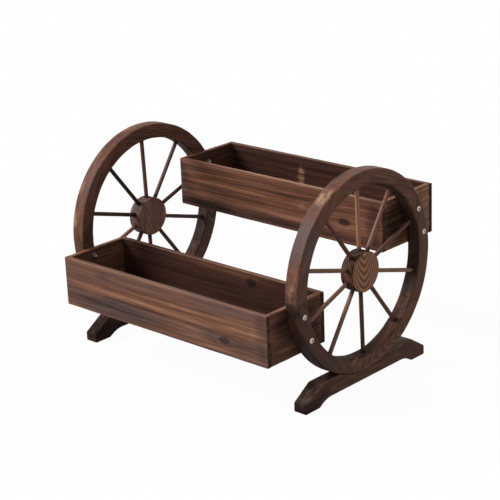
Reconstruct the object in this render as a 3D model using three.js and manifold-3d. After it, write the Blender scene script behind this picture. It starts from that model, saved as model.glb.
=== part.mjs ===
// A two-tier flower cart stand in flame-darkened fir. Two spoked wheels, each seated in a foot,
// carry a lower planter box in front and an upper planter box behind. Bolts through the rims
// hold the ends of the boxes. Nothing on it moves.
// Millimetres. +X runs along the boxes, -Y is the front, +Z is up, and the origin is on the
// ground under the middle of the stand.
import * as THREE from "three";
import { mergeVertices } from "three/addons/utils/BufferGeometryUtils.js";
import Module from "manifold-3d";

const wasm = await Module();
wasm.setup();

// Stock and fits
const plankThickness = 34; // the plank that the felloes and the feet are sawn from
const boardThickness = 12;
const fitGap = 0.3; // between pieces that touch
const edgeChamfer = 2; // on rims, hubs and feet
const boardChamfer = 1;

// Wheels
const wheelRadius = 230;
const rimDepth = 35; // along the radius
const felloeCount = 5;
const spokesPerFelloe = 2;
const wheelTurnDegrees = 2; // how far the wheels stand from having one spoke upright
const hubRadius = 46.5;
const hubThickness = 35;
const spokeRadius = 5;
const spokeTenonInHub = 18;
const spokeTenonInRim = 14;

// Planter boxes
const boxLength = 628;
const boxDepth = 187;
const boxHeight = 117;
const boxReach = 196; // from the wheels' centre forwards or backwards to the middle of a box
const lowerBoxDrop = 80; // from the wheels' centre down to the middle of the lower box
const upperBoxRise = 66; // and up to the middle of the upper box

// Bolts through the rims, two for each end of each box
const boltSpacing = 58.8; // up and down
const lowerBoltLift = 11; // from the middle of the lower box up to the middle of its bolts
const boltRadius = 3;
const boltHeadRadius = 6.5;
const boltHeadHeight = 3.2;
const boltHeadEdge = 1.2; // upright part of the head, below its dome
const boltTipLength = 2.5; // thread that shows past the nut
const socketRadius = 2.6;
const socketDepth = 1.8;
const washerRadius = 8;
const washerThickness = 1.5;
const nutRadius = 5.8; // across the corners
const nutThickness = 5;

// Feet
const footLength = 424;
const footEndHeight = 22;
const footShoulderHeight = 54;
const footSlopeRun = 50; // from an end in to the shoulder
const footPadLength = 48;
const footArchEase = 40; // from a pad in to where the arch runs level
const footArchHeight = 14.5;
const footWebThickness = 20.2; // wood left between the arch and the wheel
const footScrewSpacing = 90;
const footScrewRadius = 2.2;
const footScrewHeadRadius = 4.6;
const footScrewSink = 6; // how far the heads are let in
const footScrewBite = 12; // length in the rim

// Smoothness of round pieces
const felloeSteps = 12;
const hubSides = 40;
const spokeSides = 10;
const boltSides = 12;
const seatSteps = 20;
const archSteps = 5;

// The two boxes, each on its side of the wheels, with heights from the wheels' centre
const boxes = [
  { name: "lower", side: -1, middleHeight: -lowerBoxDrop, boltLift: lowerBoltLift },
  { name: "upper", side: 1, middleHeight: upperBoxRise, boltLift: 0 },
];

// Worked out
const rimInnerRadius = wheelRadius - rimDepth;
const rimMiddleRadius = wheelRadius - rimDepth / 2;
const axleHeight = footArchHeight + footWebThickness + fitGap + wheelRadius;
const wheelX = boxLength / 2 + fitGap + plankThickness / 2;
const felloeAngle = (2 * Math.PI) / felloeCount;
const spokeCount = felloeCount * spokesPerFelloe;
const spokeAngle = (2 * Math.PI) / spokeCount;
const uprightAngle = Math.PI / 2 + THREE.MathUtils.degToRad(wheelTurnDegrees);
const boltHoleRadius = boltRadius + fitGap;

function woodMaterial(color) {
  return new THREE.MeshStandardMaterial({ color, roughness: 0.75, metalness: 0 });
}

const rimWood = woodMaterial(0x4a3028);
const hubWood = woodMaterial(0x5a3a2a);
const spokeWood = woodMaterial(0x4c3226);
const boardWood = woodMaterial(0x5c3828);
const footWood = woodMaterial(0x3a2620);
const zincSteel = new THREE.MeshStandardMaterial({ color: 0xc9c2b4, roughness: 0.4, metalness: 0.9 });

// Joining and cutting closed geometries

function solidOf(geometry) {
  const bare = geometry.clone();
  bare.deleteAttribute("normal");
  bare.deleteAttribute("uv");
  const merged = mergeVertices(bare, 1e-3);
  return new wasm.Manifold(
    new wasm.Mesh({
      numProp: 3,
      vertProperties: merged.getAttribute("position").array,
      triVerts: new Uint32Array(merged.index.array),
    }),
  );
}

function geometryOf(solid) {
  const { vertProperties, triVerts } = solid.getMesh();
  const geometry = new THREE.BufferGeometry();
  geometry.setAttribute("position", new THREE.BufferAttribute(vertProperties, 3));
  geometry.setIndex(new THREE.BufferAttribute(triVerts, 1));
  geometry.computeVertexNormals();
  return geometry;
}

function cut(geometry, tools) {
  const cutAway = (solid, tool) => solid.subtract(solidOf(tool));
  return geometryOf(tools.reduce(cutAway, solidOf(geometry)));
}

function join(first, second) {
  return geometryOf(solidOf(first).add(solidOf(second)));
}

// Basic shapes

function chamferedRectangle(width, height, chamfer) {
  const x = width / 2;
  const y = height / 2;
  return new THREE.Shape([
    new THREE.Vector2(-x + chamfer, -y),
    new THREE.Vector2(x - chamfer, -y),
    new THREE.Vector2(x, -y + chamfer),
    new THREE.Vector2(x, y - chamfer),
    new THREE.Vector2(x - chamfer, y),
    new THREE.Vector2(-x + chamfer, y),
    new THREE.Vector2(-x, y - chamfer),
    new THREE.Vector2(-x, -y + chamfer),
  ]);
}

// An extrusion along +Z, turned so that the outline lies in Y and Z and the length along X.
function alongX(geometry) {
  const turn = new THREE.Matrix4().makeBasis(
    new THREE.Vector3(0, 1, 0),
    new THREE.Vector3(0, 0, 1),
    new THREE.Vector3(1, 0, 0),
  );
  return geometry.applyMatrix4(turn);
}

// A board along X, centred on the origin, with its long edges eased.
function plank(length, width, height) {
  const section = chamferedRectangle(width, height, boardChamfer);
  const geometry = new THREE.ExtrudeGeometry(section, { depth: length, bevelEnabled: false });
  return alongX(geometry.translate(0, 0, -length / 2));
}

// A round bar along a radius of the wheel. Angles run from +Y towards +Z.
function radialBar(radius, innerEnd, outerEnd, angle) {
  const bar = new THREE.CylinderGeometry(radius, radius, outerEnd - innerEnd, spokeSides);
  return bar.translate(0, (innerEnd + outerEnd) / 2, 0).rotateX(angle);
}

// A round bar along X from one x to another, through the point (y, z).
function crossBar(radius, fromX, toX, y, z, sides) {
  const bar = new THREE.CylinderGeometry(radius, radius, toX - fromX, sides);
  return bar.rotateZ(-Math.PI / 2).translate((fromX + toX) / 2, y, z);
}

// A profile of [radius, x] points turned about the X axis.
function turnedAboutX(profile, sides) {
  const points = profile.map(([radius, x]) => new THREE.Vector2(radius, x));
  return new THREE.LatheGeometry(points, sides).rotateZ(-Math.PI / 2);
}

// Where things are on a wheel, as seen from its centre

function spokeAngleOf(index) {
  return uprightAngle + index * spokeAngle;
}

// The upright spoke is the last one of the first felloe, and ends lie midway between spokes.
function felloeStartOf(index) {
  return uprightAngle + spokeAngle / 2 + (index - 1) * felloeAngle;
}

function boltPlacesOf(box) {
  return [1, -1].map((half) => {
    const z = box.middleHeight + box.boltLift + (half * boltSpacing) / 2;
    return { y: box.side * Math.sqrt(rimMiddleRadius ** 2 - z ** 2), z };
  });
}

const footScrewPlaces = [-footScrewSpacing / 2, footScrewSpacing / 2];

// Wheels, around the origin with the axle along X

class RimArc extends THREE.Curve {
  constructor(radius, start, end) {
    super();
    this.radius = radius;
    this.start = start;
    this.end = end;
  }

  getPoint(t, target = new THREE.Vector3()) {
    const angle = this.start + t * (this.end - this.start);
    return target.set(0, this.radius * Math.cos(angle), this.radius * Math.sin(angle));
  }
}

function footScrewPilot(y) {
  const rimBottom = -Math.sqrt(wheelRadius ** 2 - y ** 2);
  const length = footScrewBite + fitGap;
  const pilot = new THREE.CylinderGeometry(footScrewRadius, footScrewRadius, 2 * length, spokeSides);
  return pilot.rotateX(Math.PI / 2).translate(0, y, rimBottom);
}

function felloe(index) {
  const halfGap = fitGap / 2 / rimMiddleRadius;
  const start = felloeStartOf(index);
  const geometry = new THREE.ExtrudeGeometry(
    chamferedRectangle(plankThickness, rimDepth, edgeChamfer),
    {
      steps: felloeSteps,
      bevelEnabled: false,
      extrudePath: new RimArc(rimMiddleRadius, start + halfGap, start + felloeAngle - halfGap),
    },
  );
  const holes = [];
  for (let k = 0; k < spokesPerFelloe; k++) {
    const angle = start + (k + 0.5) * spokeAngle;
    const socketEnd = rimInnerRadius + spokeTenonInRim + fitGap;
    holes.push(radialBar(spokeRadius + fitGap, rimInnerRadius - rimDepth, socketEnd, angle));
  }
  for (const { y, z } of boxes.flatMap(boltPlacesOf)) {
    holes.push(crossBar(boltHoleRadius, -plankThickness, plankThickness, y, z, boltSides));
  }
  return cut(geometry, [...holes, ...footScrewPlaces.map(footScrewPilot)]);
}

function hub() {
  const half = hubThickness / 2;
  const profile = [
    [0, -half],
    [hubRadius - edgeChamfer, -half],
    [hubRadius, -half + edgeChamfer],
    [hubRadius, half - edgeChamfer],
    [hubRadius - edgeChamfer, half],
    [0, half],
  ];
  const holes = [];
  for (let k = 0; k < spokeCount; k++) {
    const socketEnd = hubRadius - spokeTenonInHub - fitGap;
    holes.push(radialBar(spokeRadius + fitGap, socketEnd, wheelRadius, spokeAngleOf(k)));
  }
  return cut(turnedAboutX(profile, hubSides), holes);
}

function spoke(index) {
  const innerEnd = hubRadius - spokeTenonInHub;
  const outerEnd = rimInnerRadius + spokeTenonInRim;
  return radialBar(spokeRadius, innerEnd, outerEnd, spokeAngleOf(index));
}

// Bolts and nuts, along X with +X pointing out of the stand, from the face that they sit on

function bolt() {
  const gripped = plankThickness + fitGap + boardThickness + fitGap;
  const tip = -(gripped + washerThickness + nutThickness + boltTipLength);
  const dome = boltHeadHeight - boltHeadEdge;
  const profile = [
    [0, tip],
    [boltRadius, tip],
    [boltRadius, fitGap],
    [boltHeadRadius, fitGap],
    [boltHeadRadius, fitGap + boltHeadEdge],
    [boltHeadRadius - dome / 2, fitGap + boltHeadEdge + dome * 0.7],
    [boltHeadRadius - 1.5 * dome, fitGap + boltHeadHeight],
    [0, fitGap + boltHeadHeight],
  ];
  const socketFloor = fitGap + boltHeadHeight - socketDepth;
  const socket = crossBar(socketRadius, socketFloor, socketFloor + 2 * boltHeadHeight, 0, 0, 6);
  return cut(turnedAboutX(profile, boltSides), [socket]);
}

function nutWithWasher() {
  const washerFace = -fitGap - washerThickness;
  const washer = crossBar(washerRadius, washerFace, -fitGap, 0, 0, boltSides);
  const nut = crossBar(nutRadius, washerFace - nutThickness, washerFace + fitGap, 0, 0, 6);
  const bore = crossBar(boltHoleRadius, -2 * (nutThickness + washerThickness), 1, 0, 0, boltSides);
  return cut(join(washer, nut), [bore]);
}

// A foot, on the ground under the wheel's centre

function foot() {
  const end = footLength / 2;
  const shoulder = end - footSlopeRun;
  const pad = end - footPadLength;
  const level = pad - footArchEase;
  const seatRadius = wheelRadius + fitGap;
  const seatHalfAngle = Math.acos((axleHeight - footShoulderHeight) / seatRadius);
  const seatStart = -Math.PI / 2 + seatHalfAngle;
  const outline = new THREE.Path();
  outline.moveTo(-end, 0);
  outline.lineTo(-pad, 0);
  outline.quadraticCurveTo(-level - footArchEase / 2, footArchHeight, -level, footArchHeight);
  outline.lineTo(level, footArchHeight);
  outline.quadraticCurveTo(level + footArchEase / 2, footArchHeight, pad, 0);
  outline.lineTo(end, 0);
  outline.lineTo(end, footEndHeight);
  outline.lineTo(shoulder, footShoulderHeight);
  const points = outline.getPoints(archSteps);
  for (let k = 0; k <= seatSteps; k++) {
    const angle = seatStart - (2 * seatHalfAngle * k) / seatSteps;
    const y = seatRadius * Math.cos(angle);
    points.push(new THREE.Vector2(y, axleHeight + seatRadius * Math.sin(angle)));
  }
  points.push(new THREE.Vector2(-shoulder, footShoulderHeight));
  points.push(new THREE.Vector2(-end, footEndHeight));
  const geometry = new THREE.ExtrudeGeometry(new THREE.Shape(points), {
    depth: plankThickness - 2 * edgeChamfer,
    bevelThickness: edgeChamfer,
    bevelSize: edgeChamfer,
    bevelOffset: -edgeChamfer,
    bevelSegments: 1,
  });
  const blank = alongX(geometry.translate(0, 0, edgeChamfer - plankThickness / 2));
  return cut(blank, footScrewPlaces.flatMap(footScrewHoles));
}

function footScrewHoles(y) {
  const upright = (radius, low, high) =>
    new THREE.CylinderGeometry(radius, radius, high - low, boltSides)
      .rotateX(Math.PI / 2)
      .translate(0, y, (low + high) / 2);
  const headSeat = footArchHeight + footScrewSink;
  return [
    upright(footScrewRadius + fitGap, 0, axleHeight),
    upright(footScrewHeadRadius + fitGap, 0, headSeat),
  ];
}

// Putting it together

const stand = new THREE.Group();

function place(parent, name, geometry, material, x = 0, y = 0, z = 0) {
  const mesh = new THREE.Mesh(geometry, material);
  mesh.name = name;
  mesh.position.set(x, y, z);
  parent.add(mesh);
}

function buildWheel(sideName, side) {
  const wheel = new THREE.Group();
  wheel.position.set(side * wheelX, 0, axleHeight);
  stand.add(wheel);
  place(wheel, `${sideName}_wheel_hub`, hub(), hubWood);
  for (let k = 0; k < felloeCount; k++) {
    place(wheel, `${sideName}_wheel_felloe_${k + 1}`, felloe(k), rimWood);
  }
  for (let k = 0; k < spokeCount; k++) {
    place(wheel, `${sideName}_wheel_spoke_${k + 1}`, spoke(k), spokeWood);
  }
}

function buildBolts(sideName, side) {
  const fixings = new THREE.Group();
  fixings.position.set(side * wheelX, 0, axleHeight);
  stand.add(fixings);
  const boardFace = -plankThickness / 2 - fitGap - boardThickness;
  for (const box of boxes) {
    boltPlacesOf(box).forEach(({ y, z }, k) => {
      const bolted = new THREE.Group();
      bolted.position.set(0, y, z);
      bolted.rotation.z = side > 0 ? 0 : Math.PI;
      fixings.add(bolted);
      const tail = `${sideName}_${box.name}_${k + 1}`;
      place(bolted, `bolt_${tail}`, bolt(), zincSteel, plankThickness / 2);
      place(bolted, `nut_${tail}`, nutWithWasher(), zincSteel, boardFace);
    });
  }
}

function buildBox(box) {
  const planter = new THREE.Group();
  planter.position.set(0, box.side * boxReach, axleHeight + box.middleHeight);
  stand.add(planter);
  const wallY = (boxDepth - boardThickness) / 2;
  const endX = (boxLength - boardThickness) / 2;
  const insideDepth = boxDepth - 2 * (boardThickness + fitGap);
  const insideLength = boxLength - 2 * (boardThickness + fitGap);
  const wall = () => plank(boxLength, boardThickness, boxHeight);
  place(planter, `${box.name}_box_front_board`, wall(), boardWood, 0, -wallY);
  place(planter, `${box.name}_box_back_board`, wall(), boardWood, 0, wallY);
  const boltHoles = boltPlacesOf(box).map(({ y, z }) => {
    const holeY = y - box.side * boxReach;
    const holeZ = z - box.middleHeight;
    return crossBar(boltHoleRadius, -boardThickness, boardThickness, holeY, holeZ, boltSides);
  });
  const endBoard = () => {
    const blank = plank(insideDepth, boardThickness, boxHeight).rotateZ(Math.PI / 2);
    return cut(blank, boltHoles);
  };
  place(planter, `${box.name}_box_left_end`, endBoard(), boardWood, -endX);
  place(planter, `${box.name}_box_right_end`, endBoard(), boardWood, endX);
  const floor = plank(insideLength, insideDepth, boardThickness);
  const floorZ = (boardThickness - boxHeight) / 2;
  place(planter, `${box.name}_box_floor`, floor, boardWood, 0, 0, floorZ);
}

boxes.forEach(buildBox);
for (const [sideName, side] of [["left", -1], ["right", 1]]) {
  buildWheel(sideName, side);
  buildBolts(sideName, side);
  place(stand, `${sideName}_foot`, foot(), footWood, side * wheelX);
}

export default stand;
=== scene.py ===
"""The looks of a two-tier flower cart stand in flame-darkened fir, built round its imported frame.

Metres. +X runs along the planter boxes, -Y is the front and +Z is up.
"""

import math
import random

import bmesh
import bpy
import numpy as np
from mathutils import Matrix, Vector, noise


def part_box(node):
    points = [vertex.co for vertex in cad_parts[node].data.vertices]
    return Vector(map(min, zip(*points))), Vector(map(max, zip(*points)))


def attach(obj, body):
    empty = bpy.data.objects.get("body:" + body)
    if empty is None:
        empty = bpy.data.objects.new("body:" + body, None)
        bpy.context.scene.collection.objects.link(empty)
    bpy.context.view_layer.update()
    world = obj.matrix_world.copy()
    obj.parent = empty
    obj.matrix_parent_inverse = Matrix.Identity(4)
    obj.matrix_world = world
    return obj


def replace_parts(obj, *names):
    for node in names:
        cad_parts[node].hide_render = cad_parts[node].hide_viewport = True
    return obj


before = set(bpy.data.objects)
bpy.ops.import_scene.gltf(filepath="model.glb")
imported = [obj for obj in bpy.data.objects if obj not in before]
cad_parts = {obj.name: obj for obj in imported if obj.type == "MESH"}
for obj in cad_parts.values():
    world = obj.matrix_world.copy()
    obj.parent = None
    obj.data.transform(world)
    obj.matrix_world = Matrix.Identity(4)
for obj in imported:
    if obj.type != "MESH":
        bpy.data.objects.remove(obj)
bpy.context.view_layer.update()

MM = 0.001
X, Y, Z = range(3)

# The photograph's view
CAMERA_PLACE = Vector((2.3682, -2.5297, 1.4561))
CAMERA_YAW = 43.04  # degrees to the left of +Y
CAMERA_PITCH = 19.29  # degrees downwards
CAMERA_ROLL = -2.26
CAMERA_LENS = 113.83
SENSOR_WIDTH = 36.0

# Light
SKY_STRENGTH = 0.36
KEY_STRENGTH = 3.0
KEY_DIRECTION = Vector((-0.62, -0.5, 0.58))  # from the stand towards the light
KEY_ANGLE = 28  # degrees across, for soft shadows
FLOOR_SIZE = 60.0
FLOOR_DROP = 0.2 * MM
WHITE = (1.0, 1.0, 1.0, 1.0)
FLOOR_COLOUR = (0.92, 0.92, 0.92, 1.0)
FLOOR_BOUNCE = (0.42, 0.42, 0.42, 1.0)  # the darker floor that lights the stand from below
BACKGROUND_SHARE = 0.965  # how much of the floor that the camera sees is plain white

# The wheels, as the frame has them
SIDES = {"left": -1, "right": 1}
FELLOE_COUNT = 5
SPOKE_COUNT = 10
UPRIGHT_ANGLE = math.radians(92)  # of spoke 1, from +Y towards +Z
SPOKE_ANGLE = 2 * math.pi / SPOKE_COUNT
SPOKE_ANGLES = [UPRIGHT_ANGLE + k * SPOKE_ANGLE for k in range(SPOKE_COUNT)]
FELLOE_ANGLE = 2 * math.pi / FELLOE_COUNT
RIM_DEPTH = 35 * MM
JOINT_GAP = 0.3 * MM
SPOKE_RADIUS = 5 * MM
SOCKET_CLEARANCE = 0.3 * MM
TENON_IN_HUB = 18 * MM
TENON_IN_RIM = 14 * MM

# The feet
FOOT_END_HEIGHT = 22 * MM
FOOT_SLOPE_RUN = 50 * MM
FOOT_PAD_LENGTH = 48 * MM
FOOT_ARCH_EASE = 40 * MM
FOOT_ARCH_HEIGHT = 14.5 * MM
FOOT_ARCH_STEPS = 8
FOOT_SEAT_STEPS = 40
FOOT_SCREW_SPACING = 90 * MM
FOOT_SCREW_PLACES = (-FOOT_SCREW_SPACING / 2, FOOT_SCREW_SPACING / 2)
FOOT_SCREW_SEAT = 20.5 * MM  # height of the inner end of the screws' counterbores
FOOT_BORE_RADIUS = 4.9 * MM

# Bolts, nuts and foot screws
BOLT_RADIUS = 3 * MM
HEAD_HEIGHT = 3.2 * MM
HEAD_EDGE_HEIGHT = 0.9 * MM  # where the dome starts
HEAD_BEVEL = 0.3 * MM
HEAD_PLAY = 0.05 * MM  # how far the head stays inside its box
HEAD_SOCKET_RADIUS = 2.9 * MM
HEAD_SOCKET_DEPTH = 1.9 * MM
HEAD_SOCKET_BEVEL = 0.2 * MM
HEAD_SOCKET_MOUTH = (1.08 * HEAD_SOCKET_RADIUS, 0.6)  # radius, share of a hexagon
HEAD_FLAT_RADIUS = 1.3 * HEAD_SOCKET_RADIUS  # of the flat ring round the socket
DRILL_MARK = (0.4 * MM, 0.5 * MM)  # depth and radius, in the socket's floor
DOME_STEPS = 9
THREAD_PITCH = 1.0 * MM
THREAD_TURNS_SHOWN = 9
THREAD_DEPTH = 0.45 * MM
THREAD_CREST_DEPTH = 0.05 * MM
THREAD_CLEARANCE = 0.1 * MM
WASHER_THICKNESS = 1.5 * MM
WASHER_BEVEL = 0.3 * MM
NUT_RADIUS = 5.8 * MM
NUT_SEAT_RADIUS = 0.86 * NUT_RADIUS
NUT_TOP_RADIUS = 0.84 * NUT_RADIUS
NUT_CROWN = 0.9 * MM
NUT_GAP = 0.02 * MM
NUT_BORE_BEVEL = 0.4 * MM
SCREW_HEAD_RADIUS = 4.2 * MM
SCREW_HEAD_HEIGHT = 2.4 * MM
SCREW_EDGE_SHARE = 0.3  # of the head's height, below its dome
SCREW_DOME_STOPS = np.linspace(0.15, 1, 7)  # in quarter turns from the top
SCREW_GAP = 0.1 * MM
SCREW_SLOT = (5.4 * MM, 1.1 * MM)  # length and width
SCREW_SLOT_DEPTH = 1.5 * MM

# Rounding and smoothness
RIM_ROUNDING = 2.8 * MM
FELLOE_END_ROUNDING = 0.9 * MM
HUB_ROUNDING = 2.6 * MM
BOARD_ROUNDING = 1.3 * MM
FOOT_ROUNDING = 2.4 * MM
FOOT_CORNER = 4.0 * MM
SPOKE_END_ROUNDING = 0.6 * MM
LEAST_ROUNDING = 0.05 * MM
MERGE_DISTANCE = 0.001 * MM
LEAST_CORNER = 0.5  # keeps a sharp corner from running far in as its outline shrinks
CORNER_STEPS = 3
CAP_MARGIN = 1.0 * MM
NEAR_EDGE = 3 * MM
BOARD_PACE = 7 * MM
RIM_PACE = 6 * MM
FOOT_PACE = 7 * MM
SPOKE_PACE = 9 * MM
HUB_FACE_LOOPS = (0.3, 0.6, 0.8)  # in shares of the radius
ROUND_SIDES = 96
SPOKE_SIDES = 24
FASTENER_SIDES = 36
SHARP_ANGLE = math.radians(38)
EDGE_REACH = 4.5 * MM  # how far wear reaches in from an edge
FELLOE_END_SHOW = 2 * MM  # keeps wear off the ends, where felloe meets felloe

# Bars: the rounding of their edges and ends, the pace of their loops, how the rounding varies
# (least, spread, waves per metre) and how the faces do (depth of the hollows, waves per metre)
BOARD_BAR = (BOARD_ROUNDING, 0.8 * BOARD_ROUNDING, BOARD_PACE, (0.6, 0.8, 35), (0.15 * MM, 12))
RIM_BAR = (RIM_ROUNDING, FELLOE_END_ROUNDING, RIM_PACE, (0.75, 0.5, 30), (0.2 * MM, 15))
SPOKE_HOLLOWS = (0.25 * MM, 25)
WAVER_SWING = 0.9
WAVER_LEVEL = 0.37  # off the noise's lattice, where it is 0
SEED_RANGE = (0, 90)
HOLLOW_SEED = 50

SQUARE = ((-1, -1), (1, -1), (1, 1), (-1, 1))


# Meshes


def mesh_of(name, points, faces):
    mesh = bpy.data.meshes.new(name)
    mesh.from_pydata([tuple(point) for point in points], [], faces)
    shape = bmesh.new()
    shape.from_mesh(mesh)
    bmesh.ops.recalc_face_normals(shape, faces=shape.faces)
    shape.to_mesh(mesh)
    shape.free()
    return mesh


def loft(name, rings):
    """A closed mesh through rings of points, with a flat face over the first and the last one."""
    sides = len(rings[0])
    faces = [list(range(sides)), [(len(rings) - 1) * sides + k for k in range(sides)]]
    for ring in range(len(rings) - 1):
        for k in range(sides):
            a = ring * sides + k
            b = ring * sides + (k + 1) % sides
            faces.append([a, b, b + sides, a + sides])
    return mesh_of(name, np.concatenate(rings), faces)


def new_object(name, data):
    item = bpy.data.objects.new(name, data)
    bpy.context.scene.collection.objects.link(item)
    return item


def joined(name, meshes):
    shape = bmesh.new()
    for mesh in meshes:
        shape.from_mesh(mesh)
    whole = bpy.data.meshes.new(name)
    shape.to_mesh(whole)
    shape.free()
    return whole


def carved(mesh, tools):
    """The mesh with the shapes of the tools cut out of it."""
    body = new_object("carved_body", mesh)
    cutter = new_object("carving_tool", joined("carving_tool", tools))
    cut = body.modifiers.new("cut", "BOOLEAN")
    cut.operation = "DIFFERENCE"
    cut.solver = "EXACT"
    cut.object = cutter
    graph = bpy.context.evaluated_depsgraph_get()
    result = bpy.data.meshes.new_from_object(body.evaluated_get(graph))
    for item in (body, cutter):
        bpy.data.objects.remove(item)
    return result


def basis(direction):
    """Two unit vectors square to a direction."""
    direction = np.array(direction, float)
    helper = np.array((1.0, 0, 0)) if abs(direction[0]) < 0.9 else np.array((0, 1.0, 0))
    first = np.cross(direction, helper)
    first /= np.linalg.norm(first)
    return first, np.cross(direction, first)


def round_angles(sides):
    return np.linspace(0, 2 * math.pi, sides, endpoint=False)


def circle(sides, first, second):
    """Points round the unit circle that two directions span."""
    angles = round_angles(sides)
    return np.outer(np.cos(angles), first) + np.outer(np.sin(angles), second)


def round_bar(name, start, end, radius, sides):
    start, end = np.array(start, float), np.array(end, float)
    ring = radius * circle(sides, *basis((end - start) / np.linalg.norm(end - start)))
    return loft(name, [start + ring, end + ring])


def waver(place, seed):
    """Smooth unevenness from 0 to 1 along a piece."""
    swing = WAVER_SWING * noise.noise(Vector((place, seed, WAVER_LEVEL)))
    return min(1.0, max(0.0, 0.5 + swing))


def stops(length, near, pace):
    """Shares of a length at which loops lie: close to its ends and evenly in between."""
    count = max(1, round((length - 2 * near) / pace))
    return np.linspace(near / length, 1 - near / length, count + 1)


def stations(length, rounding, pace):
    """(distance along, inset) of each ring of a bar whose ends are rounded."""
    end = [(0.0, rounding + CAP_MARGIN)]
    for k in range(CORNER_STEPS + 1):
        angle = math.pi / 2 * k / CORNER_STEPS
        end.append((rounding * (1 - math.cos(angle)), rounding * (1 - math.sin(angle))))
    straight = length - 2 * rounding
    middle = [(rounding + straight * stop, 0.0) for stop in stops(straight, NEAR_EDGE, pace)]
    return end + middle + [(length - along, inset) for along, inset in reversed(end)]


def section(half_width, half_height, radius, width_stops, height_stops):
    """Points round a rectangle with rounded corners, the same number whatever its size."""
    radius = max(radius, LEAST_ROUNDING)
    arcs = []
    for side_x, side_y, start in ((1, -1, -90), (1, 1, 0), (-1, 1, 90), (-1, -1, 180)):
        centre = np.array((side_x * (half_width - radius), side_y * (half_height - radius)))
        angles = np.radians(start + np.linspace(0, 90, CORNER_STEPS + 1))
        arcs.append(centre + radius * np.stack((np.cos(angles), np.sin(angles)), 1))
    points = []
    for k, arc in enumerate(arcs):
        points.extend(arc)
        step = arcs[(k + 1) % 4][0] - arc[-1]
        points.extend(arc[-1] + step * stop for stop in (width_stops if k % 2 else height_stops))
    return np.array(points)


def bar_outlines(width, depth, length, bar, seed):
    """(distance along, outline) of each ring of a bar with rounded, uneven edges."""
    rounding, end_rounding, pace, (least, spread, edge_waves), (hollow, hollow_waves) = bar
    width_stops = stops(width - 2 * rounding, NEAR_EDGE, pace)
    depth_stops = stops(depth - 2 * rounding, NEAR_EDGE, pace)
    for distance, inset in stations(length, end_rounding, pace):
        radius = rounding * (least + spread * waver(distance * edge_waves, seed)) - inset
        shrink = inset + hollow * waver(distance * hollow_waves, seed + HOLLOW_SEED)
        halves = width / 2 - shrink, depth / 2 - shrink
        yield distance, section(*halves, radius, width_stops, depth_stops)


# Colour and grain, which each wooden piece carries in its mesh

# How light (0 is plain), golden and grey a piece is, where it isn't left to chance
TONES = {
    "lower_box_front_board": (0.11, 0.27, 0.05),
    "lower_box_back_board": (-0.05, -0.05, 0.0),
    "lower_box_left_end": (0.26, 0.35, 0.0),
    "lower_box_right_end": (0.0, 0.15, 0.0),
    "upper_box_front_board": (0.08, 0.14, 0.05),
    "upper_box_back_board": (-0.03, 0.05, 0.0),
    "upper_box_left_end": (0.16, 0.1, 0.0),
    "upper_box_right_end": (0.25, 0.5, 0.0),
    "right_wheel_hub": (0.26, 0.25, 0.0),
    "left_wheel_hub": (0.31, 0.1, 0.0),
}
# The same for each wheel's felloes and spokes in their order, with None for chance
WHEEL_TONES = {
    "right_wheel_felloe": (
        (0.08, 0.2, 0.15), (0.08, 0.2, 0.1), (-0.01, 0.2, 0.25), (0.07, 0.4, 0.15),
        (0.07, 0.3, 0.3),
    ),
    "left_wheel_felloe": ((0.07, 0.2, 0.0), (0.06, 0.22, 0.1), (0.04, 0.25, 0.15)),
    "right_wheel_spoke": (
        (0.52, 0.42, 0.0), (0.09, 0.1, 0.1), (0.25, 0.4, 0.3), (0.3, 0.3, 0.35),
        (0.32, 0.4, 0.4), (0.03, 0.3, 0.1), (0.04, 0.5, 0.4), (0.36, 0.5, 0.45),
        (0.18, 0.3, 0.45), (0.26, 0.1, 0.15),
    ),
    "left_wheel_spoke": (
        (0.1, 0.3, 0.5), (-0.2, 0.4, 0.5), (-0.24, 0.3, 0.1), (0.38, 0.2, 0.2), None, None,
        (-0.1, 0.3, 0.5), (0.08, 0.2, 0.7), (0.0, 0.2, 0.45), (0.2, 0.1, 0.9),
    ),
}
for kind, tones in WHEEL_TONES.items():
    TONES.update({f"{kind}_{k}": tone for k, tone in enumerate(tones, 1) if tone})

# Kinds of stain: the char kind darkens, for scorching and for painted shade; the pale kind
# lightens, for worn patches and for painted highlights
WARM, CHAR_AND_SHADE, PALE_AND_HIGHLIGHT, GREY = range(4)
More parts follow.
